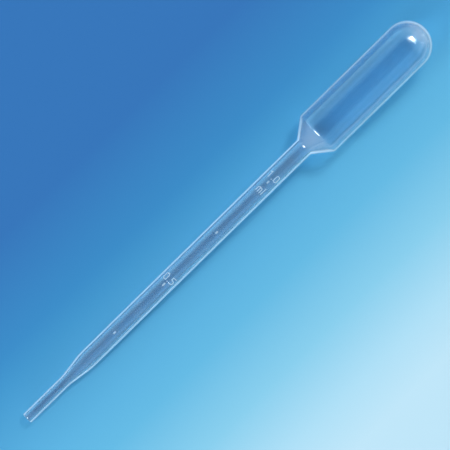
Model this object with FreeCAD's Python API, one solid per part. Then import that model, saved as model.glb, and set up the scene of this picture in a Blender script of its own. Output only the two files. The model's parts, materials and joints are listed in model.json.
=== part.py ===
import FreeCAD, Part
import math
import os

# Graduated transfer pipette, blow moulded in one piece in natural low-density polyethylene.
#
# It lies as it comes to rest on a flat surface: on the end of its tip and on the shoulder
# where its cone meets its bulb, so its axis climbs a little towards the bulb. +X runs along
# the pipette towards the bulb, +Z is up and the raised graduation faces up. The origin is on
# the surface, below the middle of the length. All sizes are in mm.

Vector = FreeCAD.Vector

# Driving dimensions, from the open tip to the crown of the bulb.
tip_length = 15.3
tip_outer_d = 3.3
tip_bore_d = 2.0
taper_length = 7.4
stem_length = 85.3
stem_outer_d = 5.5
stem_bore_d = 4.0
cone_length = 5.3
bulb_length = 34.7  # the straight wall, between the cone and the dome
bulb_outer_d = 14.0
bulb_wall = 0.4
crown_wall = 0.7  # at the far end of the dome, where the blown wall stays thicker

# Outside fillets. The bore's are the same less the wall, or plus it in a hollow corner.
tip_fillet = 10.0
taper_fillet = 24.0
stem_fillet = 1.2
shoulder_fillet = 1.2

# Raised graduation, on top of the stem.
relief = 0.15  # how far the figures stand out of the stem
bump_relief = 0.2
bump_r = 0.35
bump_length = 0.5  # between its round ends
figure_height = 2.3
figure_width = 1.2
lower_case_height = 1.6
stroke_width = 0.32
point_d = 0.4
letter_gap = 0.3
figures_above_bump = 1.0  # from the bump's middle to the foot of the figures
unit_below_bump = 1.6  # from the bump's middle to the top of the unit

# For each mark: the volume in ml, the figures above its bump, the unit below it, and how far the
# engraving stands from the exact volume.
graduation = (
    (0.25, "", "", 0.0),
    (0.50, "0.5", "", -0.6),
    (0.75, "", "", 0.0),
    (1.00, "1.0", "ml", 0.0),
)

# What follows from them.
tip_r = tip_outer_d / 2
tip_bore_r = tip_bore_d / 2
tip_wall = tip_r - tip_bore_r
stem_r = stem_outer_d / 2
stem_bore_r = stem_bore_d / 2
stem_wall = stem_r - stem_bore_r
bulb_r = bulb_outer_d / 2
bulb_bore_r = bulb_r - bulb_wall
taper_start = tip_length
stem_start = taper_start + taper_length
cone_start = stem_start + stem_length
shoulder = cone_start + cone_length
dome_start = shoulder + bulb_length
overall_length = dome_start + bulb_r
taper_angle = math.atan2(stem_r - tip_r, taper_length)
cone_angle = math.atan2(bulb_r - stem_r, cone_length)


def corner_reach(radius, turn):
    """From a corner that turns by this angle to where a fillet of this radius meets its sides.

    It is also how far along the axis the bore's corner stands from the outside's, for a wall of
    this thickness that keeps it round the corner.
    """
    return radius * math.tan(turn / 2)


bore_taper_start = taper_start + corner_reach(tip_wall, taper_angle)
bore_stem_start = stem_start + corner_reach(stem_wall, taper_angle)
bore_cone_start = cone_start + corner_reach(stem_wall, cone_angle)
bore_shoulder = shoulder + corner_reach(bulb_wall, cone_angle)
bore_dome_start = dome_start + bulb_wall - crown_wall


def filleted_edges(corners):
    """The edges of an open outline in the XZ plane. Each corner is (x, z, fillet radius)."""
    points = [Vector(x, 0, z) for x, z, _ in corners]
    edges = []
    start = points[0]
    for before, corner, after, (_, _, radius) in zip(points, points[1:], points[2:], corners[1:]):
        to_before = (before - corner).normalize()
        to_after = (after - corner).normalize()
        half_turn = (math.pi - to_before.getAngle(to_after)) / 2
        reach = corner_reach(radius, 2 * half_turn)
        inward = (to_before + to_after).normalize()
        arc_middle = corner + inward * (radius / math.cos(half_turn) - radius)
        arc_start = corner + to_before * reach
        arc_end = corner + to_after * reach
        edges.append(Part.LineSegment(start, arc_start).toShape())
        edges.append(Part.Arc(arc_start, arc_middle, arc_end).toShape())
        start = arc_end
    edges.append(Part.LineSegment(start, points[-1]).toShape())
    return edges


def dome_edge(centre_x, radius):
    """A quarter circle from the wall of the bulb to the axis."""
    diagonal = radius * math.sqrt(0.5)
    wall_end = Vector(centre_x, 0, radius)
    middle = Vector(centre_x + diagonal, 0, diagonal)
    crown = Vector(centre_x + radius, 0, 0)
    return Part.Arc(wall_end, middle, crown).toShape()


def moulded_tube():
    """Tip, taper, stem, cone, bulb and dome in one wall, open at the tip, turned about the X axis."""
    outside = filleted_edges([
        (0, tip_r, 0),
        (taper_start, tip_r, tip_fillet),
        (stem_start, stem_r, taper_fillet),
        (cone_start, stem_r, stem_fillet),
        (shoulder, bulb_r, shoulder_fillet),
        (dome_start, bulb_r, 0),
    ])
    outside.append(dome_edge(dome_start, bulb_r))
    bore = filleted_edges([
        (0, tip_bore_r, 0),
        (bore_taper_start, tip_bore_r, tip_fillet + tip_wall),
        (bore_stem_start, stem_bore_r, taper_fillet - stem_wall),
        (bore_cone_start, stem_bore_r, stem_fillet + stem_wall),
        (bore_shoulder, bulb_bore_r, shoulder_fillet - bulb_wall),
        (bore_dome_start, bulb_bore_r, 0),
    ])
    bore.append(dome_edge(bore_dome_start, bulb_bore_r))
    end_face = Part.LineSegment(Vector(0, 0, tip_bore_r), Vector(0, 0, tip_r)).toShape()
    crown_cut = Part.LineSegment(
        Vector(overall_length, 0, 0),
        Vector(bore_dome_start + bulb_bore_r, 0, 0),
    ).toShape()
    outline = Part.Wire(Part.sortEdges(outside + bore + [end_face, crown_cut])[0])
    tube = Part.Face(outline).revolve(Vector(0, 0, 0), Vector(1, 0, 0), 360)
    # A half turn takes the faces' own seam underneath, clear of the marks.
    tube.rotate(Vector(0, 0, 0), Vector(1, 0, 0), 180)
    return tube


def mark_position(volume_ml):
    """Where along the axis the bore, counted from the open tip, holds this volume."""
    tip_volume = math.pi * tip_bore_r**2 * bore_taper_start
    taper_volume = (
        math.pi / 3 * (bore_stem_start - bore_taper_start)
        * (tip_bore_r**2 + tip_bore_r * stem_bore_r + stem_bore_r**2)
    )
    left = volume_ml * 1000 - tip_volume - taper_volume
    return bore_stem_start + left / (math.pi * stem_bore_r**2)


# The figures are drawn flat, with across to the reader's right and up towards the bulb.

def stroke(points, arcs=(), closed=False):
    """A round-ended stroke along points.

    Each pair in arcs bows the path from the point of that number, through another, to the next.
    """
    bow = dict(arcs)
    vectors = [Vector(up, -across, 0) for across, up in points]
    if closed:
        vectors.append(vectors[0])
    edges = []
    for i, (a, b) in enumerate(zip(vectors, vectors[1:])):
        if i in bow:
            across, up = bow[i]
            edges.append(Part.Arc(a, Vector(up, -across, 0), b).toShape())
        else:
            edges.append(Part.LineSegment(a, b).toShape())
    path = Part.Wire(edges)
    if closed:
        rim = path.makeOffset2D(stroke_width / 2)
        hole = path.makeOffset2D(-stroke_width / 2)
        return Part.Face(rim).cut(Part.Face(hole))
    return Part.Face(path.makeOffset2D(stroke_width / 2))


def straight_stroke(low, high):
    """A round-ended upright bar from low to high, as (across, up)."""
    across, foot = low
    top = high[1]
    half = stroke_width / 2
    left = -across + half
    right = -across - half
    rim = Part.Wire([
        Part.LineSegment(Vector(foot, left, 0), Vector(top, left, 0)).toShape(),
        Part.Arc(Vector(top, left, 0), Vector(top + half, -across, 0), Vector(top, right, 0)).toShape(),
        Part.LineSegment(Vector(top, right, 0), Vector(foot, right, 0)).toShape(),
        Part.Arc(Vector(foot, right, 0), Vector(foot - half, -across, 0), Vector(foot, left, 0)).toShape(),
    ])
    return Part.Face(rim)


def glyph_zero(left, foot):
    half = (figure_width - stroke_width) / 2
    middle = left + figure_width / 2
    low = foot + stroke_width / 2 + half
    high = foot + figure_height - stroke_width / 2 - half
    points = [(middle - half, low), (middle - half, high), (middle + half, high), (middle + half, low)]
    arcs = [(1, (middle, high + half)), (3, (middle, low - half))]
    return [stroke(points, arcs, closed=True)]


def glyph_one(left, foot):
    middle = left + figure_width / 2
    low = foot + stroke_width / 2
    high = foot + figure_height - stroke_width / 2
    flag = figure_width / 3
    return [stroke([(middle - flag, high - flag), (middle, high), (middle, low)])]


def glyph_five(left, foot):
    near = left + stroke_width / 2
    far = left + figure_width - stroke_width / 2
    low = foot + stroke_width / 2
    high = foot + figure_height - stroke_width / 2
    bowl_r = (high - low) * 0.3
    bowl_left = far - bowl_r
    bowl_top = low + 2 * bowl_r
    corner = [(far, high), (near, high), (near, bowl_top)]
    bowl = [(bowl_left, bowl_top), (bowl_left, low), (near, low)]
    return [stroke(corner + bowl, [(3, (far, low + bowl_r))])]


def glyph_point(left, foot):
    centre = Vector(foot + point_d / 2, -left - point_d / 2, 0)
    return [Part.Face(Part.Wire(Part.makeCircle(point_d / 2, centre)))]


def glyph_m(left, foot):
    near = left + stroke_width / 2
    low = foot + stroke_width / 2
    arch_r = (1.3 * figure_width - stroke_width) / 4
    spring = foot + lower_case_height - stroke_width / 2 - arch_r
    legs = [near, near + 2 * arch_r, near + 4 * arch_r]
    return [
        stroke([(a, low), (a, spring), (b, spring), (b, low)], [(1, ((a + b) / 2, spring + arch_r))])
        for a, b in zip(legs, legs[1:])
    ]


def glyph_l(left, foot):
    middle = left + stroke_width / 2
    low = foot + stroke_width / 2
    high = foot + figure_height - stroke_width / 2
    return [straight_stroke((middle, low), (middle, high))]


# Each character's drawing and its width.
glyphs = {
    "0": (glyph_zero, figure_width),
    "1": (glyph_one, figure_width),
    "5": (glyph_five, figure_width),
    ".": (glyph_point, point_d),
    "m": (glyph_m, 1.3 * figure_width),
    "l": (glyph_l, stroke_width),
}


def lettering(text, foot):
    """Flat faces of a line of text across the stem, with its foot at this place along the axis."""
    width = sum(glyphs[c][1] for c in text) + letter_gap * (len(text) - 1)
    faces = []
    left = -width / 2
    for character in text:
        draw, advance = glyphs[character]
        faces += draw(left, foot)
        left += advance + letter_gap
    return faces


def raised(faces):
    """The faces carried down on to the stem, as relief that follows its round surface."""
    rooted_r = stem_r - stem_wall / 4
    skin = Part.makeCylinder(stem_r + relief, stem_length, Vector(stem_start, 0, 0), Vector(1, 0, 0))
    core = Part.makeCylinder(rooted_r, stem_length, Vector(stem_start, 0, 0), Vector(1, 0, 0))
    band = skin.cut(core)
    return [face.extrude(Vector(0, 0, stem_r + 2 * relief)).common(band) for face in faces]


def bump(x):
    """A round-ended bead along the top of the stem, half sunk in it."""
    diagonal = bump_r * math.sqrt(0.5)
    back = x - bump_length / 2
    front = x + bump_length / 2
    crown_z = stem_r + bump_relief
    centre_z = crown_z - bump_r
    shoulder_z = centre_z + diagonal
    back_end = Vector(back - bump_r, 0, centre_z)
    front_end = Vector(front + bump_r, 0, centre_z)
    edges = [
        Part.Arc(back_end, Vector(back - diagonal, 0, shoulder_z), Vector(back, 0, crown_z)).toShape(),
        Part.LineSegment(Vector(back, 0, crown_z), Vector(front, 0, crown_z)).toShape(),
        Part.Arc(Vector(front, 0, crown_z), Vector(front + diagonal, 0, shoulder_z), front_end).toShape(),
        Part.LineSegment(front_end, back_end).toShape(),
    ]
    return Part.Face(Part.Wire(edges)).revolve(back_end, Vector(1, 0, 0), 360)


def marks():
    """The raised graduation of every volume that the stem has room for."""
    solids = []
    for volume, figures, unit, offset in graduation:
        x = mark_position(volume) + offset
        top = x + figures_above_bump + figure_height if figures else x + bump_length / 2 + bump_r
        if top > cone_start:
            continue
        solids.append(bump(x))
        solids += raised(lettering(figures, x + figures_above_bump))
        solids += raised(lettering(unit, x - unit_below_bump - figure_height))
    return solids


# What can touch the surface: each is a round edge around the pipette, given by the place of its
# centre along the axis, the centre's depth below the axis, and its radius.
tip_rim = (0, tip_r, 0)
stem_heel = (stem_start + corner_reach(taper_fillet, taper_angle), stem_r - taper_fillet, taper_fillet)
shoulder_fillet_x = shoulder + corner_reach(shoulder_fillet, cone_angle)
shoulder_edge = (shoulder_fillet_x, bulb_r - shoulder_fillet, shoulder_fillet)


def lowest_point(edge, climb):
    """The height of the edge's lowest point over the origin, once the axis climbs by this angle."""
    x, depth, radius = edge
    return x * math.sin(climb) - depth * math.cos(climb) - radius


def climb_on(edge):
    """The axis's climb when this edge and the shoulder touch one level surface."""
    along = shoulder_edge[0] - edge[0]
    down = shoulder_edge[1] - edge[1]
    return math.atan2(down, along) + math.asin((shoulder_edge[2] - edge[2]) / math.hypot(along, down))


def at_rest(shape):
    """Lays the pipette down, with the origin on the surface below the middle of its length.

    The tip's side sinks, turning on the shoulder, until its first edge meets the surface.
    """
    climb = min(climb_on(tip_rim), climb_on(stem_heel))
    back = -tip_r * math.sin(climb)
    front = dome_start * math.cos(climb) + bulb_r
    shape.rotate(Vector(0, 0, 0), Vector(0, 1, 0), -math.degrees(climb))
    shape.translate(Vector(-(back + front) / 2, 0, -lowest_point(shoulder_edge, climb)))
    return shape


pipette = at_rest(moulded_tube().fuse(marks()))
os.makedirs("parts", exist_ok=True)
pipette.exportStep("parts/pipette.step")

print("length", round(overall_length, 3), "solids", len(pipette.Solids), "valid", pipette.isValid())
print("volume in mm3", round(pipette.Volume, 2))
print("marks at", [round(mark_position(row[0]) + row[3], 2) for row in graduation])
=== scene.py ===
import json
import math

import bpy
import numpy as np
from mathutils import Matrix, Vector


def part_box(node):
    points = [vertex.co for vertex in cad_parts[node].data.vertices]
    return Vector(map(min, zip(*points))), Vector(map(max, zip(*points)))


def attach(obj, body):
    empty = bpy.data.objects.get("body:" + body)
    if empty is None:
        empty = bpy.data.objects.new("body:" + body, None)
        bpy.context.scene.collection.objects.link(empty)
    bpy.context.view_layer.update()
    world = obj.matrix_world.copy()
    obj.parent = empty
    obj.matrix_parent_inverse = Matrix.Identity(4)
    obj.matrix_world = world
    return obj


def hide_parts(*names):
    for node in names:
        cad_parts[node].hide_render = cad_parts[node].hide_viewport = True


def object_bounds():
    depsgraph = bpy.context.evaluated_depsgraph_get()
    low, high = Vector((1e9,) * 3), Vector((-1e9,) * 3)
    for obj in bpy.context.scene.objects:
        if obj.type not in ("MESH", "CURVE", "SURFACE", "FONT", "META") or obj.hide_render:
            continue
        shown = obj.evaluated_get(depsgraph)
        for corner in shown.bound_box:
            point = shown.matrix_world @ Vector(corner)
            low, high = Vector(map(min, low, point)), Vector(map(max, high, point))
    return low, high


# A graduated transfer pipette, blow moulded in one piece in natural low-density polyethylene. It
# lies on a board graded from blue to pale, among soft boxes and cards, seen from straight above.
#
# The moulding is made in its own frame, in mm: X runs along its axis from the open tip to the
# crown of the bulb, Z is the side with the raised graduation. It is then laid where the CAD
# part's tip is.

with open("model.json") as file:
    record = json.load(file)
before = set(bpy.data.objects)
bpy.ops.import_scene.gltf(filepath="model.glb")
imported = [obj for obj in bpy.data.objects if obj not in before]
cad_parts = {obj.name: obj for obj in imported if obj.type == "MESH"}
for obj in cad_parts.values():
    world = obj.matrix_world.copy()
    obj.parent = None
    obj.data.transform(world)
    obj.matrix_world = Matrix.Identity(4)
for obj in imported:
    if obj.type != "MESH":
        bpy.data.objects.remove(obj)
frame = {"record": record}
cad_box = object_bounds()

MM = 0.001

# Sizes of the moulding in mm, the same as the CAD part's.
TIP_LENGTH = 15.3
TIP_R = 1.65
TIP_BORE_R = 1.0
TAPER_LENGTH = 7.4
STEM_LENGTH = 85.3
STEM_R = 2.75
STEM_BORE_R = 2.0
CONE_LENGTH = 5.3
BULB_LENGTH = 34.7
BULB_R = 7.0
BULB_WALL = 0.4
CROWN_WALL = 0.7
TIP_FILLET = 10.0
TAPER_FILLET = 24.0
STEM_FILLET = 1.2
SHOULDER_FILLET = 1.2
CUT_EDGE = 0.06  # how far the cut end's two rims are rounded
CUT_EDGE_MIDDLE = 0.02  # how far the middle of that rounding stays from the sharp corner
PARTING_LINE = 0.03  # how far the lines where the mould's halves met stand out

STEM_START = TIP_LENGTH + TAPER_LENGTH
CONE_START = STEM_START + STEM_LENGTH
SHOULDER = CONE_START + CONE_LENGTH
DOME_START = SHOULDER + BULB_LENGTH
BULB_BORE_R = BULB_R - BULB_WALL
BORE_DOME_START = DOME_START + BULB_WALL - CROWN_WALL

# The raised graduation: each bump's place along the axis, the figures above it and the unit
# below it.
MARKS = (
    (34.49, "", ""),
    (53.79, "0.5", ""),
    (74.28, "", ""),
    (94.17, "1.0", "ml"),
)
RELIEF = 0.15  # how far the figures stand out
BUMP_RELIEF = 0.2  # how far the bumps do
BUMP_R = 0.35
BUMP_LENGTH = 0.5  # between its round ends
FIGURE_HEIGHT = 2.3
FIGURE_WIDTH = 1.2
M_WIDTH = 1.3 * FIGURE_WIDTH
LOWER_CASE_HEIGHT = 1.6
STROKE_WIDTH = 0.32
STROKE_SPREAD = 0.05  # how far the foot of a stroke's slope reaches past its width
STROKE_SLOPE = 0.15  # how wide the slope from the stem to a stroke's flat top is
POINT_D = 0.4
LETTER_GAP = 0.3
FIGURES_ABOVE_BUMP = 1.0
UNIT_BELOW_BUMP = 1.6


def resting_place():
    """Where the moulding lies: its tip's end and its axis, from the bore that the record states."""
    bore = next(m for m in frame["record"]["mounts"] if m["name"] == "tip_bore")
    axis = -Vector(bore["axis"])
    low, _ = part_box("pipette")
    up_side = Vector((-axis.z, 0, axis.x))
    middle = Vector(bore["pos_m"])
    # the lowest corner of the cut end rests on the floor
    back = (middle.x - low.x - TIP_R * MM * axis.z) / axis.x
    tip_end = middle - axis * back
    side = up_side.cross(axis)
    turn = Matrix((axis, side, up_side)).transposed().to_4x4()
    return Matrix.Translation(tip_end) @ turn


RESTING = resting_place()


# ---- outline ---------------------------------------------------------------------------------

def corner_reach(radius, turn):
    """From a corner that turns by this angle to where a fillet of this radius meets its sides."""
    return radius * math.tan(turn / 2)


def filleted(corners, arc_step):
    """An outline in (along, radius) through corners of (along, radius, fillet)."""
    points = [np.array(c[:2], float) for c in corners]
    line = [points[0]]
    for before, corner, after, c in zip(points, points[1:], points[2:], corners[1:]):
        fillet = c[2]
        back = (before - corner) / np.linalg.norm(before - corner)
        ahead = (after - corner) / np.linalg.norm(after - corner)
        half = (math.pi - math.acos(np.clip(back @ ahead, -1, 1))) / 2
        middle = (back + ahead) / np.linalg.norm(back + ahead)
        centre = corner + middle * fillet / math.cos(half)
        start = corner + back * corner_reach(fillet, 2 * half) - centre
        end = corner + ahead * corner_reach(fillet, 2 * half) - centre
        pieces = max(3, math.ceil(2 * half * fillet / arc_step))
        for i in range(pieces + 1):
            share = i / pieces
            spoke = start * (1 - share) + end * share
            line.append(centre + spoke / np.linalg.norm(spoke) * fillet)
    line.append(points[-1])
    return line


def dome(centre, radius, steps):
    """The round end of the bulb, from its wall to just short of the axis."""
    angles = np.linspace(0, math.pi / 2, steps + 1)[1:-1]
    return [np.array([centre + radius * math.sin(a), radius * math.cos(a)]) for a in angles]


def refined(line, step_at):
    """The outline with its long runs divided, no step longer than step_at allows there."""
    fine = [line[0]]
    for a, b in zip(line, line[1:]):
        at = 0.0
        length = np.linalg.norm(b - a)
        while True:
            at += step_at(a[0] + (b[0] - a[0]) * at / length if length else a[0])
            if at >= length - 1e-6:
                break
            fine.append(a + (b - a) * at / length)
        fine.append(b)
    return np.array(fine)


# The longest step between two rings of corners, in mm: along the graduation, along the rest of
# the outside, and in the bore.
MARK_STEP = 0.07
OUTSIDE_STEP = 0.9
BORE_STEP = 1.2
# The same round a fillet, and the number of steps from the dome's foot to its crown.
OUTSIDE_ARC_STEP = 0.2
BORE_ARC_STEP = 0.35
OUTSIDE_DOME_STEPS = 34
BORE_DOME_STEPS = 26

BUMP_REACH = BUMP_LENGTH / 2 + BUMP_R
MARK_MARGIN = 0.2
MARK_SPANS = [
    (
        at - (UNIT_BELOW_BUMP + FIGURE_HEIGHT if unit else BUMP_REACH) - MARK_MARGIN,
        at + (FIGURES_ABOVE_BUMP + FIGURE_HEIGHT if figures else BUMP_REACH) + MARK_MARGIN,
    )
    for at, figures, unit in MARKS
]


def outside_step(along):
    """Fine where the graduation stands, coarse elsewhere."""
    if any(low <= along <= high for low, high in MARK_SPANS):
        return MARK_STEP
    return OUTSIDE_STEP


def outside_outline():
    """The outside from the cut end's rim to just short of the crown."""
    corners = [
        (CUT_EDGE, TIP_R, 0),
        (TIP_LENGTH, TIP_R, TIP_FILLET),
        (STEM_START, STEM_R, TAPER_FILLET),
        (CONE_START, STEM_R, STEM_FILLET),
        (SHOULDER, BULB_R, SHOULDER_FILLET),
        (DOME_START, BULB_R, 0),
    ]
    straight = refined(filleted(corners, OUTSIDE_ARC_STEP), outside_step)
    return np.vstack([straight, dome(DOME_START, BULB_R, OUTSIDE_DOME_STEPS)])


def bore_outline():
    """The inside, a wall's thickness from the outside, from the same end to the same end."""
    taper = math.atan2(STEM_R - TIP_R, TAPER_LENGTH)
    cone = math.atan2(BULB_R - STEM_R, CONE_LENGTH)
    tip_wall = TIP_R - TIP_BORE_R
    stem_wall = STEM_R - STEM_BORE_R
    corners = [
        (CUT_EDGE, TIP_BORE_R, 0),
        (TIP_LENGTH + corner_reach(tip_wall, taper), TIP_BORE_R, TIP_FILLET + tip_wall),
        (STEM_START + corner_reach(stem_wall, taper), STEM_BORE_R, TAPER_FILLET - stem_wall),
        (CONE_START + corner_reach(stem_wall, cone), STEM_BORE_R, STEM_FILLET + stem_wall),
        (SHOULDER + corner_reach(BULB_WALL, cone), BULB_BORE_R, SHOULDER_FILLET - BULB_WALL),
        (BORE_DOME_START, BULB_BORE_R, 0),
    ]
    straight = refined(filleted(corners, BORE_ARC_STEP), lambda along: BORE_STEP)
    return np.vstack([straight, dome(BORE_DOME_START, BULB_BORE_R, BORE_DOME_STEPS)])


# ---- graduation ------------------------------------------------------------------------------
# Strokes are drawn flat as lines of (across, up): across to the reader's right, up towards the
# bulb. Each is (points, width).

def bow(centre, radius, start, end, pieces=14):
    """Points on an arc, by its start and end angles in degrees."""
    angles = np.radians(np.linspace(start, end, pieces + 1))
    return [(centre[0] + radius * math.cos(a), centre[1] + radius * math.sin(a)) for a in angles]


def strokes_zero(left, foot):
    half = (FIGURE_WIDTH - STROKE_WIDTH) / 2
    middle = left + FIGURE_WIDTH / 2
    low = foot + STROKE_WIDTH / 2 + half
    high = foot + FIGURE_HEIGHT - STROKE_WIDTH / 2 - half
    ring = bow((middle, high), half, 180, 0) + bow((middle, low), half, 0, -180)
    return [(ring + ring[:1], STROKE_WIDTH)]


def strokes_one(left, foot):
    middle = left + FIGURE_WIDTH / 2
    low = foot + STROKE_WIDTH / 2
    high = foot + FIGURE_HEIGHT - STROKE_WIDTH / 2
    flag = FIGURE_WIDTH / 3
    return [([(middle - flag, high - flag), (middle, high), (middle, low)], STROKE_WIDTH)]


def strokes_five(left, foot):
    near = left + STROKE_WIDTH / 2
    far = left + FIGURE_WIDTH - STROKE_WIDTH / 2
    low = foot + STROKE_WIDTH / 2
    high = foot + FIGURE_HEIGHT - STROKE_WIDTH / 2
    bowl_r = (high - low) * 0.3  # the bowl takes up 0.6 of the height
    line = [(far, high), (near, high), (near, low + 2 * bowl_r)]
    line += bow((far - bowl_r, low + bowl_r), bowl_r, 90, -90)
    return [(line + [(near, low)], STROKE_WIDTH)]


def strokes_point(left, foot):
    centre = (left + POINT_D / 2, foot + POINT_D / 2)
    return [([centre, centre], POINT_D)]


def strokes_m(left, foot):
    near = left + STROKE_WIDTH / 2
    low = foot + STROKE_WIDTH / 2
    arch_r = (M_WIDTH - STROKE_WIDTH) / 4
    spring = foot + LOWER_CASE_HEIGHT - STROKE_WIDTH / 2 - arch_r
    strokes = []
    for a in (near, near + 2 * arch_r):
        arch = bow((a + arch_r, spring), arch_r, 180, 0)
        strokes.append(([(a, low)] + arch + [(a + 2 * arch_r, low)], STROKE_WIDTH))
    return strokes


def strokes_l(left, foot):
    middle = left + STROKE_WIDTH / 2
    low = foot + STROKE_WIDTH / 2
    high = foot + FIGURE_HEIGHT - STROKE_WIDTH / 2
    return [([(middle, low), (middle, high)], STROKE_WIDTH)]


# How each character is drawn, and its width.
CHARACTERS = {
    "0": (strokes_zero, FIGURE_WIDTH),
    "1": (strokes_one, FIGURE_WIDTH),
    "5": (strokes_five, FIGURE_WIDTH),
    ".": (strokes_point, POINT_D),
    "m": (strokes_m, M_WIDTH),
    "l": (strokes_l, STROKE_WIDTH),
}


def lettering(text, foot):
    """The strokes of a line of text centred on the stem."""
    strokes = []
    left = -(sum(CHARACTERS[c][1] for c in text) + LETTER_GAP * (len(text) - 1)) / 2
    for character in text:
        draw, advance = CHARACTERS[character]
        strokes += draw(left, foot)
        left += advance + LETTER_GAP
    return strokes


def distance_to(line, across, up):
    """How far each place is from the nearest point of a line."""
    nearest = np.full(across.shape, 1e9)
    for (ax, ay), (bx, by) in zip(line, line[1:]):
        run = (bx - ax) ** 2 + (by - ay) ** 2
        share = ((across - ax) * (bx - ax) + (up - ay) * (by - ay)) / run if run else 0.0
        share = np.clip(share, 0, 1)
        nearest = np.minimum(
            nearest, np.hypot(across - ax - share * (bx - ax), up - ay - share * (by - ay))
        )
    return nearest


def graduation_height(across, up):
    """How far the moulded graduation stands out of the stem at each place, in mm."""
    height = np.zeros(across.shape)
    for at, figures, unit in MARKS:
        strokes = lettering(figures, at + FIGURES_ABOVE_BUMP)
        strokes += lettering(unit, at - UNIT_BELOW_BUMP - FIGURE_HEIGHT)
        for line, width in strokes:
            inside = width / 2 + STROKE_SPREAD - distance_to(line, across, up)
            rise = np.clip(inside / STROKE_SLOPE, 0, 1)
            height = np.maximum(height, RELIEF * rise * rise * (3 - 2 * rise))
        bead = distance_to([(0, at - BUMP_LENGTH / 2), (0, at + BUMP_LENGTH / 2)], across, up)
        crown = np.sqrt(np.clip(BUMP_R**2 - bead**2, 0, None)) - (BUMP_R - BUMP_RELIEF)
        height = np.maximum(height, crown)
    return height


# ---- the moulding ----------------------------------------------------------------------------

# All in degrees round the axis: how far the graduation reaches to each side, how far each parting
# line spreads to each side, and how far apart the columns of corners at a parting line are.
GRADUATION_REACH = 41.0
PARTING_SPREAD = 1.6
PARTING_STEP = 1.2
# Columns of corners under the graduation, and round the rest.
FRONT_COLUMNS = 57
BACK_COLUMNS = 71


def column_angles():
    """Angles round the axis, 0 at the graduation and growing to the reader's right.

    They are close together under the graduation and at the two parting lines.
    """
    front = np.linspace(-GRADUATION_REACH, GRADUATION_REACH, FRONT_COLUMNS)
    back = np.linspace(GRADUATION_REACH, 360 - GRADUATION_REACH, BACK_COLUMNS)[1:-1]
    parting = [side + step * PARTING_STEP for side in (90.0, 270.0) for step in range(-2, 3)]
    back = [a for a in back if min(abs(a - p) for p in parting) > 1.5 * PARTING_STEP]
    return np.radians(np.array(sorted([*front, *back, *parting])))


def waves(rng, along, around, count, longest, shortest):
    """Smooth unevenness between about -1 and 1 that joins up all the way round."""
    total = np.zeros(np.broadcast(along, around).shape)
    for _ in range(count):
        length = rng.uniform(shortest, longest)
        turns = rng.integers(0, 4)
        phase = rng.uniform(0, 2 * math.pi, 2)
        lengthways = np.cos(2 * math.pi * along / length + phase[0])
        total += lengthways * np.cos(turns * around + phase[1])
    return total / math.sqrt(count)


# The bore isn't quite round or straight: waves of these lengths in mm, and their height as a share
# of the wall's thickness.
BORE_WAVES = 10
SHORTEST_WAVE = 14
LONGEST_WAVE = 60
BORE_UNEVENNESS = 0.05

# Each table below gives a value at places along the axis.

# How thick the wall is.
WALL = (
    (TIP_LENGTH, TIP_R - TIP_BORE_R),
    (STEM_START, STEM_R - STEM_BORE_R),
    (CONE_START, STEM_R - STEM_BORE_R),
    (SHOULDER, BULB_WALL),
    (DOME_START, BULB_WALL),
    (DOME_START + BULB_R, CROWN_WALL),
)

# How milky the plastic is: least where it was blown thin, most where it stayed thick.
HAZE = (
    (0.0, 0.03),
    (STEM_START, 0.035),
    (CONE_START - 0.5, 0.035),
    (CONE_START + 1.0, 0.045),
    (SHOULDER - 0.5, 0.045),
    (SHOULDER + 1.0, 0.01),
    (DOME_START, 0.01),
    (DOME_START + 0.6 * BULB_R, 0.04),
    (DOME_START + BULB_R, 0.11),
)

# The same where the eye meets the wall at a slant.
SLANT_HAZE = (
    (0.0, 0.03),
    (STEM_START, 0.035),
    (CONE_START - 0.5, 0.035),
    (CONE_START + 1.0, 0.04),
    (SHOULDER - 0.5, 0.04),
    (SHOULDER + 1.0, 0.055),
    (DOME_START, 0.055),
    (DOME_START + 0.6 * BULB_R, 0.09),
    (DOME_START + BULB_R, 0.22),
)

# How much of a lamp's light a wall that it meets edge on holds back: less where the round end
# gathers it.
HELD_BACK = (
    (TIP_LENGTH, 0.5),
    (STEM_START, 0.85),
    (SHOULDER, 1.0),
    (DOME_START - 3.0, 1.0),
    (DOME_START + 2.0, 0.3),
)

# How milky it gets at its very edges.
EDGE_MILK = (
    (TIP_LENGTH, 0.72),
    (STEM_START, 0.9),
    (CONE_START, 0.92),
    (CONE_START + 2.0, 0.74),
    (SHOULDER, 0.58),
    (DOME_START, 0.62),
    (DOME_START + 0.5 * BULB_R, 0.8),
)

# How deep inside its edge a round wall starts to look milkier, and where it is at its milkiest:
# a depth in mm and a share of the radius, added up.
EDGE_STARTS = (0.4, 0.1)
EDGE_FULL = (0.24, 0.01)

SHARP_ANGLE = 50.0  # a fold of more degrees than this stays a crease


def along_axis(table, along):
    """A table's value at each place along the axis."""
    return np.interp(along, *zip(*table))


def facing_at(depth, radius):
    """How far a round skin has turned from the eye where it is seen this deep inside its edge."""
    return 1 - np.sqrt(1 - np.clip(1 - depth / radius, 0, 1) ** 2)


def ring_points(outline, radii, angles):
    """Corners of the rings, (rings, columns, 3), from each ring's place and the corners' radii."""
    along = np.broadcast_to(outline[:, :1], radii.shape)
    return np.stack([along, -radii * np.sin(angles), radii * np.cos(angles)], axis=-1)


def plain_radii(outline, angles):
    """The outline's own radius at each corner."""
    return np.repeat(outline[:, 1:], angles.size, axis=1)


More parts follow.
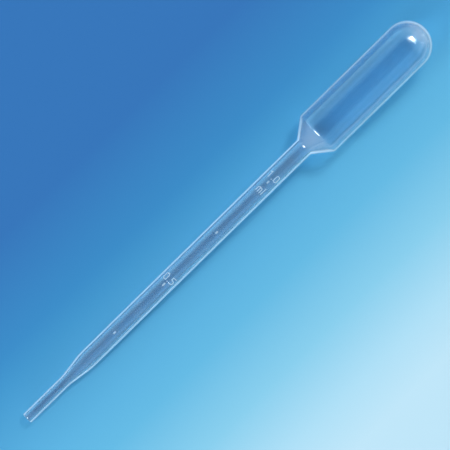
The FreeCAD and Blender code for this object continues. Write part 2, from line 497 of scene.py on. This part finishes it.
def outside_radii(outside, angles):
    """The outside's radius at each corner, and how much of it is the raised graduation."""
    radii = plain_radii(outside, angles)
    graduated_side = np.cos(angles) > 0.5
    on_stem = (outside[:, :1] > STEM_START) & (outside[:, :1] < CONE_START)
    across = radii * np.sin(angles)
    up = np.broadcast_to(outside[:, :1], across.shape)
    relief = np.where(graduated_side & on_stem, graduation_height(across, up), 0)
    from_parting = np.abs(np.abs(np.degrees(angles)) % 180 - 90)
    parting_line = PARTING_LINE * np.clip(1 - from_parting / PARTING_SPREAD, 0, 1)
    return radii + relief + parting_line, relief


def bore_radii(bore, angles):
    """The bore's radius at each corner, a little uneven, as blown walls are."""
    rng = np.random.default_rng(7)
    uneven = waves(rng, bore[:, :1], angles, BORE_WAVES, LONGEST_WAVE, SHORTEST_WAVE)
    wall = along_axis(WALL, bore[:, :1])
    return plain_radii(bore, angles) * (1 + BORE_UNEVENNESS * (wall / bore[:, 1:]) * uneven)


def skin_faces(rings, columns):
    """Faces between neighbouring rings, then a fan at each end to the two last corners."""
    faces = []
    for ring in range(rings - 1):
        for column in range(columns):
            following = (column + 1) % columns
            faces.append((
                ring * columns + column,
                (ring + 1) * columns + column,
                (ring + 1) * columns + following,
                ring * columns + following,
            ))
    crown = rings * columns
    last = (rings - 1) * columns
    for column in range(columns):
        following = (column + 1) % columns
        faces.append((column, following, crown))
        faces.append((last + column, crown + 1, last + following))
    return faces


def moulding_mesh():
    """The wall of the whole pipette as one closed skin, open only at the tip's bore.

    Its rings run from the crown down the outside, over the cut end and back up the bore.
    """
    angles = column_angles()[None, :]
    columns = angles.size
    outside = outside_outline()
    bore = bore_outline()
    cut = np.array([
        (CUT_EDGE_MIDDLE, TIP_R - CUT_EDGE_MIDDLE),
        (0.0, TIP_R - CUT_EDGE),
        (0.0, TIP_BORE_R + CUT_EDGE),
        (CUT_EDGE_MIDDLE, TIP_BORE_R + CUT_EDGE_MIDDLE),
    ])

    radii, relief = outside_radii(outside, angles)
    rings = np.concatenate([
        ring_points(outside, radii, angles)[::-1],
        ring_points(cut, plain_radii(cut, angles), angles),
        ring_points(bore, bore_radii(bore, angles), angles),
    ])
    crowns = [(DOME_START + BULB_R, 0, 0), (BORE_DOME_START + BULB_BORE_R, 0, 0)]
    corners = np.vstack([rings.reshape(-1, 3), crowns]) * MM
    corners = corners @ np.array(RESTING.to_3x3()).T + np.array(RESTING.translation)

    frosted = np.concatenate([
        np.clip(relief[::-1] / RELIEF, 0, 1),
        np.ones((len(cut), columns)),
        np.zeros((len(bore), columns)),
    ])
    along, radius = np.concatenate([outside[::-1], cut, bore]).T
    curve = np.where(along > DOME_START, BULB_R, radius)
    edge_from, edge_to = (
        facing_at(depth + share * curve, curve) for depth, share in (EDGE_STARTS, EDGE_FULL)
    )
    milk_most = along_axis(EDGE_MILK, along)
    milk_most[-len(bore):] = 0.0

    mesh = bpy.data.meshes.new("pipette_moulding")
    mesh.from_pydata(corners.tolist(), [], skin_faces(len(rings), columns))
    for name, values, at_crowns in (
        ("frosted", frosted, 0.0),
        ("haze", along_axis(HAZE, along), HAZE[-1][1]),
        ("slant_haze", along_axis(SLANT_HAZE, along), SLANT_HAZE[-1][1]),
        ("edge_from", edge_from, edge_from[0]),
        ("edge_to", edge_to, edge_to[0]),
        ("milk_most", milk_most, EDGE_MILK[-1][1]),
        ("held_back", along_axis(HELD_BACK, along), HELD_BACK[-1][1]),
    ):
        if values.ndim == 1:
            values = np.repeat(values, columns)
        values = np.append(values, (at_crowns, at_crowns)).astype(np.float32)
        layer = mesh.attributes.new(name, "FLOAT", "POINT")
        layer.data.foreach_set("value", values)
    mesh.shade_smooth()
    mesh.set_sharp_from_angle(angle=math.radians(SHARP_ANGLE))
    return mesh


# ---- materials -------------------------------------------------------------------------------

def linear(hex_colour):
    """An sRGB hex colour as linear red, green, blue and alpha."""
    parts = [int(hex_colour[i:i + 2], 16) / 255 for i in (1, 3, 5)]
    parts = [c / 12.92 if c <= 0.04045 else ((c + 0.055) / 1.055) ** 2.4 for c in parts]
    return (*parts, 1.0)


def node(tree, kind, sockets=None, **settings):
    """Adds a node with its settings, and gives its input sockets values or links."""
    made = tree.nodes.new(kind)
    for name, value in settings.items():
        setattr(made, name, value)
    for socket, value in (sockets or {}).items():
        if isinstance(value, bpy.types.NodeSocket):
            tree.links.new(value, made.inputs[socket])
        else:
            made.inputs[socket].default_value = value
    return made


def new_material(name):
    """A material whose node tree is still empty."""
    material = bpy.data.materials.new(name)
    material.use_nodes = True
    material.node_tree.nodes.clear()
    return material, material.node_tree


def blown_ldpe():
    """Natural low-density polyethylene, blow moulded: clear but a little milky, with a glossy skin.

    It looks milkier where the wall is thick and where the eye looks along it, at its edges. The
    raised graduation is frosted, as the mould is where it was engraved, and so is the cut end.
    """
    material, tree = new_material("ldpe_natural_blow_moulded")
    # Patterns are placed in the moulding's own frame, so that they follow its axis.
    world_place = node(tree, "ShaderNodeTexCoord").outputs["Object"]
    place = node(tree, "ShaderNodeMapping", {
        "Vector": world_place,
        "Location": RESTING.translation,
        "Rotation": RESTING.to_euler(),
    }, vector_type="TEXTURE").outputs["Vector"]
    # The gloss varies in streaks about 17 mm long and 1.4 mm wide, the way the plastic was drawn.
    drawn = node(tree, "ShaderNodeMapping", {
        "Vector": place, "Scale": (60, 700, 700),
    }).outputs["Vector"]
    streaks = node(tree, "ShaderNodeTexNoise", {
        "Vector": drawn, "Scale": 1.0, "Detail": 2.0,
    }).outputs["Fac"]
    gloss = node(tree, "ShaderNodeMapRange", {
        "Value": streaks, "From Min": 0.3, "From Max": 0.7, "To Min": 0.05, "To Max": 0.09,
    }).outputs["Result"]
    # The skin has a faint peel, about 1.1 mm from crest to crest.
    peel = node(tree, "ShaderNodeTexNoise", {
        "Vector": place, "Scale": 900.0, "Detail": 1.0,
    }).outputs["Fac"]
    skin = node(tree, "ShaderNodeBump", {
        "Height": peel, "Strength": 0.03, "Distance": 0.0002,
    }).outputs["Normal"]

    attribute = {
        name: node(tree, "ShaderNodeAttribute", attribute_name=name).outputs["Fac"]
        for name in (
            "frosted", "haze", "slant_haze", "edge_from", "edge_to", "milk_most", "held_back",
        )
    }
    facing = node(tree, "ShaderNodeLayerWeight", {"Blend": 0.5}).outputs["Facing"]

    # The milk of a thin wall looks faintly blue, that of a thick one greyer. The edges are tinted
    # bluer, painted light: the blue light of the board and the room that their milk takes up.
    edge_milk = node(tree, "ShaderNodeMapRange", {
        "Value": facing, "From Min": attribute["edge_from"], "From Max": attribute["edge_to"],
        "To Min": 0.0, "To Max": attribute["milk_most"],
    }, interpolation_type="SMOOTHSTEP").outputs["Result"]
    thick = node(tree, "ShaderNodeMapRange", {
        "Value": attribute["haze"], "From Min": 0.035, "From Max": 0.045,
    }).outputs["Result"]
    wall_tint = node(tree, "ShaderNodeMix", {
        "Factor": thick, "A": linear("#E4F0F8"), "B": linear("#EBECF1"),
    }, data_type="RGBA").outputs["Result"]
    tint_with_painted_blue_edges = node(tree, "ShaderNodeMix", {
        "Factor": edge_milk, "A": wall_tint, "B": linear("#D4EAFC"),
    }, data_type="RGBA").outputs["Result"]

    frost = node(tree, "ShaderNodeMath", {
        0: attribute["frosted"], 1: 0.25,
    }, operation="MULTIPLY").outputs["Value"]
    skin_milk = node(tree, "ShaderNodeMath", {
        0: edge_milk, 1: frost,
    }, operation="MAXIMUM").outputs["Value"]
    slant_milk = node(tree, "ShaderNodeMapRange", {
        "Value": facing, "From Min": 0.2, "From Max": 0.55,
        "To Min": attribute["haze"], "To Max": attribute["slant_haze"],
    }, interpolation_type="SMOOTHSTEP").outputs["Result"]
    milk = node(tree, "ShaderNodeMath", {
        0: skin_milk, 1: slant_milk,
    }, operation="ADD").outputs["Value"]
    clear = node(tree, "ShaderNodeMath", {
        0: 1.0, 1: milk,
    }, operation="SUBTRACT").outputs["Value"]
    matt = node(tree, "ShaderNodeMapRange", {
        "Value": attribute["frosted"], "To Min": gloss, "To Max": 0.35,
    }).outputs["Result"]
    surface = node(tree, "ShaderNodeBsdfPrincipled", {
        "Base Color": tint_with_painted_blue_edges,
        "Roughness": matt,
        "IOR": 1.51,
        "Transmission Weight": clear,
        "Coat Weight": 1.0,
        "Coat Roughness": 0.04,
        "Coat IOR": 1.51,
        "Normal": skin,
    })

    # A lamp's light passes straight through to what is below, dimmed most by walls seen edge on.
    shade_edge = node(tree, "ShaderNodeMapRange", {
        "Value": facing, "From Min": attribute["edge_from"], "From Max": attribute["edge_to"],
        "To Min": 0.0, "To Max": attribute["held_back"],
    }, interpolation_type="SMOOTHSTEP").outputs["Result"]
    dimmed = node(tree, "ShaderNodeMix", {
        "Factor": shade_edge, "A": linear("#E4EEF4"), "B": linear("#1E465C"),
    }, data_type="RGBA").outputs["Result"]
    let_through = node(tree, "ShaderNodeBsdfTransparent", {"Color": dimmed}).outputs["BSDF"]
    lamp_ray = node(tree, "ShaderNodeLightPath").outputs["Is Shadow Ray"]
    whole = node(tree, "ShaderNodeMixShader", {
        0: lamp_ray, 1: surface.outputs["BSDF"], 2: let_through,
    }).outputs["Shader"]
    node(tree, "ShaderNodeOutputMaterial", {"Surface": whole})
    return material


# Where along Y, in metres, the board's grading starts behind the pipette and ends in front of it,
# and its colours on the way. Paler in front is partly painted light, as if more light fell there.
GRADE_BACK = 0.0417
GRADE_FRONT = -0.0708
BOARD_GRADE_AND_PAINTED_LIGHT = (
    (0.0, "#2B6BAB"), (0.22, "#3282B9"), (0.28, "#3B8DBF"), (0.48, "#57A8D1"),
    (0.57, "#5FAFD4"), (0.74, "#84C3DD"), (0.89, "#ABD4E6"), (1.0, "#BDDBE9"),
)


def studio_floor():
    """A matt board graded from blue behind the pipette to pale in front of it, barely mottled.

    The grading is partly the board's own and partly painted light, paler in front as if more
    light fell there.
    """
    material, tree = new_material("floor_graded_and_painted_light")
    place = node(tree, "ShaderNodeTexCoord").outputs["Object"]
    # Faint patches about 170 mm across shift the grading by up to 2% of its width.
    mottle = node(tree, "ShaderNodeTexNoise", {
        "Vector": place, "Scale": 6.0, "Detail": 2.0,
    }).outputs["Fac"]
    uneven = node(tree, "ShaderNodeMath", {
        0: mottle, 1: 0.04, 2: -0.02,
    }, operation="MULTIPLY_ADD").outputs["Value"]
    forward = node(tree, "ShaderNodeSeparateXYZ", {"Vector": place}).outputs["Y"]
    grade = node(tree, "ShaderNodeMapRange", {
        "Value": forward, "From Min": GRADE_BACK, "From Max": GRADE_FRONT,
    }).outputs["Result"]
    shifted = node(tree, "ShaderNodeMath", {
        0: grade, 1: uneven,
    }, operation="ADD").outputs["Value"]
    # The ramp's colours paint in part of the light: paler towards the front.
    ramp = node(tree, "ShaderNodeValToRGB", {"Fac": shifted})
    stops = ramp.color_ramp.elements
    stops[0].position, stops[1].position = BOARD_GRADE_AND_PAINTED_LIGHT[0][0], BOARD_GRADE_AND_PAINTED_LIGHT[-1][0]
    for at, _ in BOARD_GRADE_AND_PAINTED_LIGHT[1:-1]:
        stops.new(at)
    for stop, (at, colour) in zip(stops, BOARD_GRADE_AND_PAINTED_LIGHT):
        stop.color = linear(colour)
    surface = node(tree, "ShaderNodeBsdfPrincipled", {
        "Base Color": ramp.outputs["Color"], "Roughness": 0.7, "Specular IOR Level": 0.25,
    })
    node(tree, "ShaderNodeOutputMaterial", {"Surface": surface.outputs["BSDF"]})
    return material


# ---- the pipette -----------------------------------------------------------------------------

pipette = bpy.data.objects.new("pipette_moulding", moulding_mesh())
bpy.context.scene.collection.objects.link(pipette)
pipette.data.materials.append(blown_ldpe())
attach(pipette, "root")
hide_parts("pipette")

# ---- studio ----------------------------------------------------------------------------------

FLOOR_HALF = 3.0  # half the board's side, in metres
floor_mesh = bpy.data.meshes.new("studio_floor")
floor_mesh.from_pydata(
    [(x * FLOOR_HALF, y * FLOOR_HALF, 0) for x, y in ((-1, -1), (1, -1), (1, 1), (-1, 1))],
    [], [(0, 1, 2, 3)],
)
floor = bpy.data.objects.new("studio_floor", floor_mesh)
bpy.context.scene.collection.objects.link(floor)
floor.data.materials.append(studio_floor())


def soft_box(name, direction, distance, size, power, hex_colour, hidden_from=()):
    """An oval soft box or lit card that faces the pipette's middle.

    hidden_from names the kinds of ray that don't meet it.
    """
    data = bpy.data.lights.new(name, "AREA")
    data.shape = "ELLIPSE"
    data.size, data.size_y = size
    data.energy = power
    data.color = linear(hex_colour)[:3]
    lamp = bpy.data.objects.new(name, data)
    place = Vector(direction).normalized() * distance
    lamp.location = place
    lamp.rotation_euler = place.to_track_quat("Z", "Y").to_euler()
    for rays in hidden_from:
        setattr(lamp, "visible_" + rays, False)
    bpy.context.scene.collection.objects.link(lamp)


# The key and the bare lamp inside it make the highlight on the dome, the second box the one at the
# shoulder. The lamp isn't seen again through the wall.
KEY = (0.754, 0.2, 1.0)
soft_box("key_soft_box", KEY, 0.8, (0.50, 0.28), 1.3, "#FFF8F0")
soft_box("key_lamp_head", KEY, 0.79, (0.17, 0.15), 2.3, "#FFF8F0", ("transmission",))
soft_box("second_soft_box", (-1.4, 0.14, 1.0), 0.9, (0.50, 0.32), 5.6, "#FFF5EA")
# Cards beyond the bulb's end and behind the pipette light its milky wall and edges.
soft_box("bulb_end_card", (1.0, 0.0, 0.50), 1.2, (1.0, 0.7), 1.1, "#FFF0E4")
soft_box("back_board", (0.0, 1.0, 0.2), 1.2, (1.3, 0.4), 0.7, "#9CD8FF")
soft_box("low_back_card", (-0.9, 1.0, 0.2), 1.2, (1.0, 0.36), 1.2, "#D4E6F4")
# This card is only mirrored, in the far flank of the bulb and the stem, and lights nothing.
soft_box("flank_card", (0.0, 1.0, 0.42), 1.2, (1.3, 1.15), 1.7, "#8CE4FF",
         ("diffuse", "transmission"))
# This one lights the milky edges from the front and isn't mirrored.
soft_box("low_front_card", (-0.9, -1.0, 0.2), 1.2, (1.15, 0.36), 7.0, "#ECEEF6",
         ("glossy", "transmission"))

# The room: pale blue walls, lighter behind the pipette, under a dark ceiling.
world = bpy.data.worlds.new("studio")
bpy.context.scene.world = world
world.use_nodes = True
sky = world.node_tree
sky.nodes.clear()
direction = node(sky, "ShaderNodeTexCoord").outputs["Generated"]
towards = node(sky, "ShaderNodeSeparateXYZ", {"Vector": direction})
ceiling = node(sky, "ShaderNodeMapRange", {
    "Value": towards.outputs["Z"], "From Min": 0.74, "From Max": 0.95, "To Min": 0.0, "To Max": 1.0,
}, interpolation_type="SMOOTHSTEP").outputs["Result"]
behind = node(sky, "ShaderNodeMapRange", {
    "Value": towards.outputs["Y"], "From Min": -0.5, "From Max": 0.5,
}, interpolation_type="SMOOTHSTEP").outputs["Result"]
walls = node(sky, "ShaderNodeMix", {
    "Factor": behind, "A": linear("#6694A8"), "B": linear("#86BAD6"),
}, data_type="RGBA").outputs["Result"]
tone = node(sky, "ShaderNodeMix", {
    "Factor": ceiling, "A": walls, "B": linear("#1C2832"),
}, data_type="RGBA").outputs["Result"]
glow = node(sky, "ShaderNodeBackground", {"Color": tone, "Strength": 1.0}).outputs["Background"]
node(sky, "ShaderNodeOutputWorld", {"Surface": glow})

# ---- camera ----------------------------------------------------------------------------------

SENSOR = 36.0
LENS = 200.0
VIEW_WIDTH = 0.1246  # how much the picture spans at the pipette's middle, in metres
VIEW_TURN = -44.44  # degrees, so that the tip is at the lower left
VIEW_ASIDE = (-0.00022, -0.00012)  # of the pipette's middle, in metres
camera_data = bpy.data.cameras.new("camera")
camera_data.lens = LENS
camera_data.sensor_width = SENSOR
camera = bpy.data.objects.new("camera", camera_data)
low, high = cad_box
middle = (low + high) / 2
distance = VIEW_WIDTH * LENS / SENSOR
camera.location = middle + Vector((*VIEW_ASIDE, distance))
camera.rotation_euler = (0, 0, math.radians(VIEW_TURN))
camera_data.clip_start = 0.01
camera_data.clip_end = 20.0
bpy.context.scene.collection.objects.link(camera)
bpy.context.scene.camera = camera
bpy.context.scene.view_settings.view_transform = "Standard"
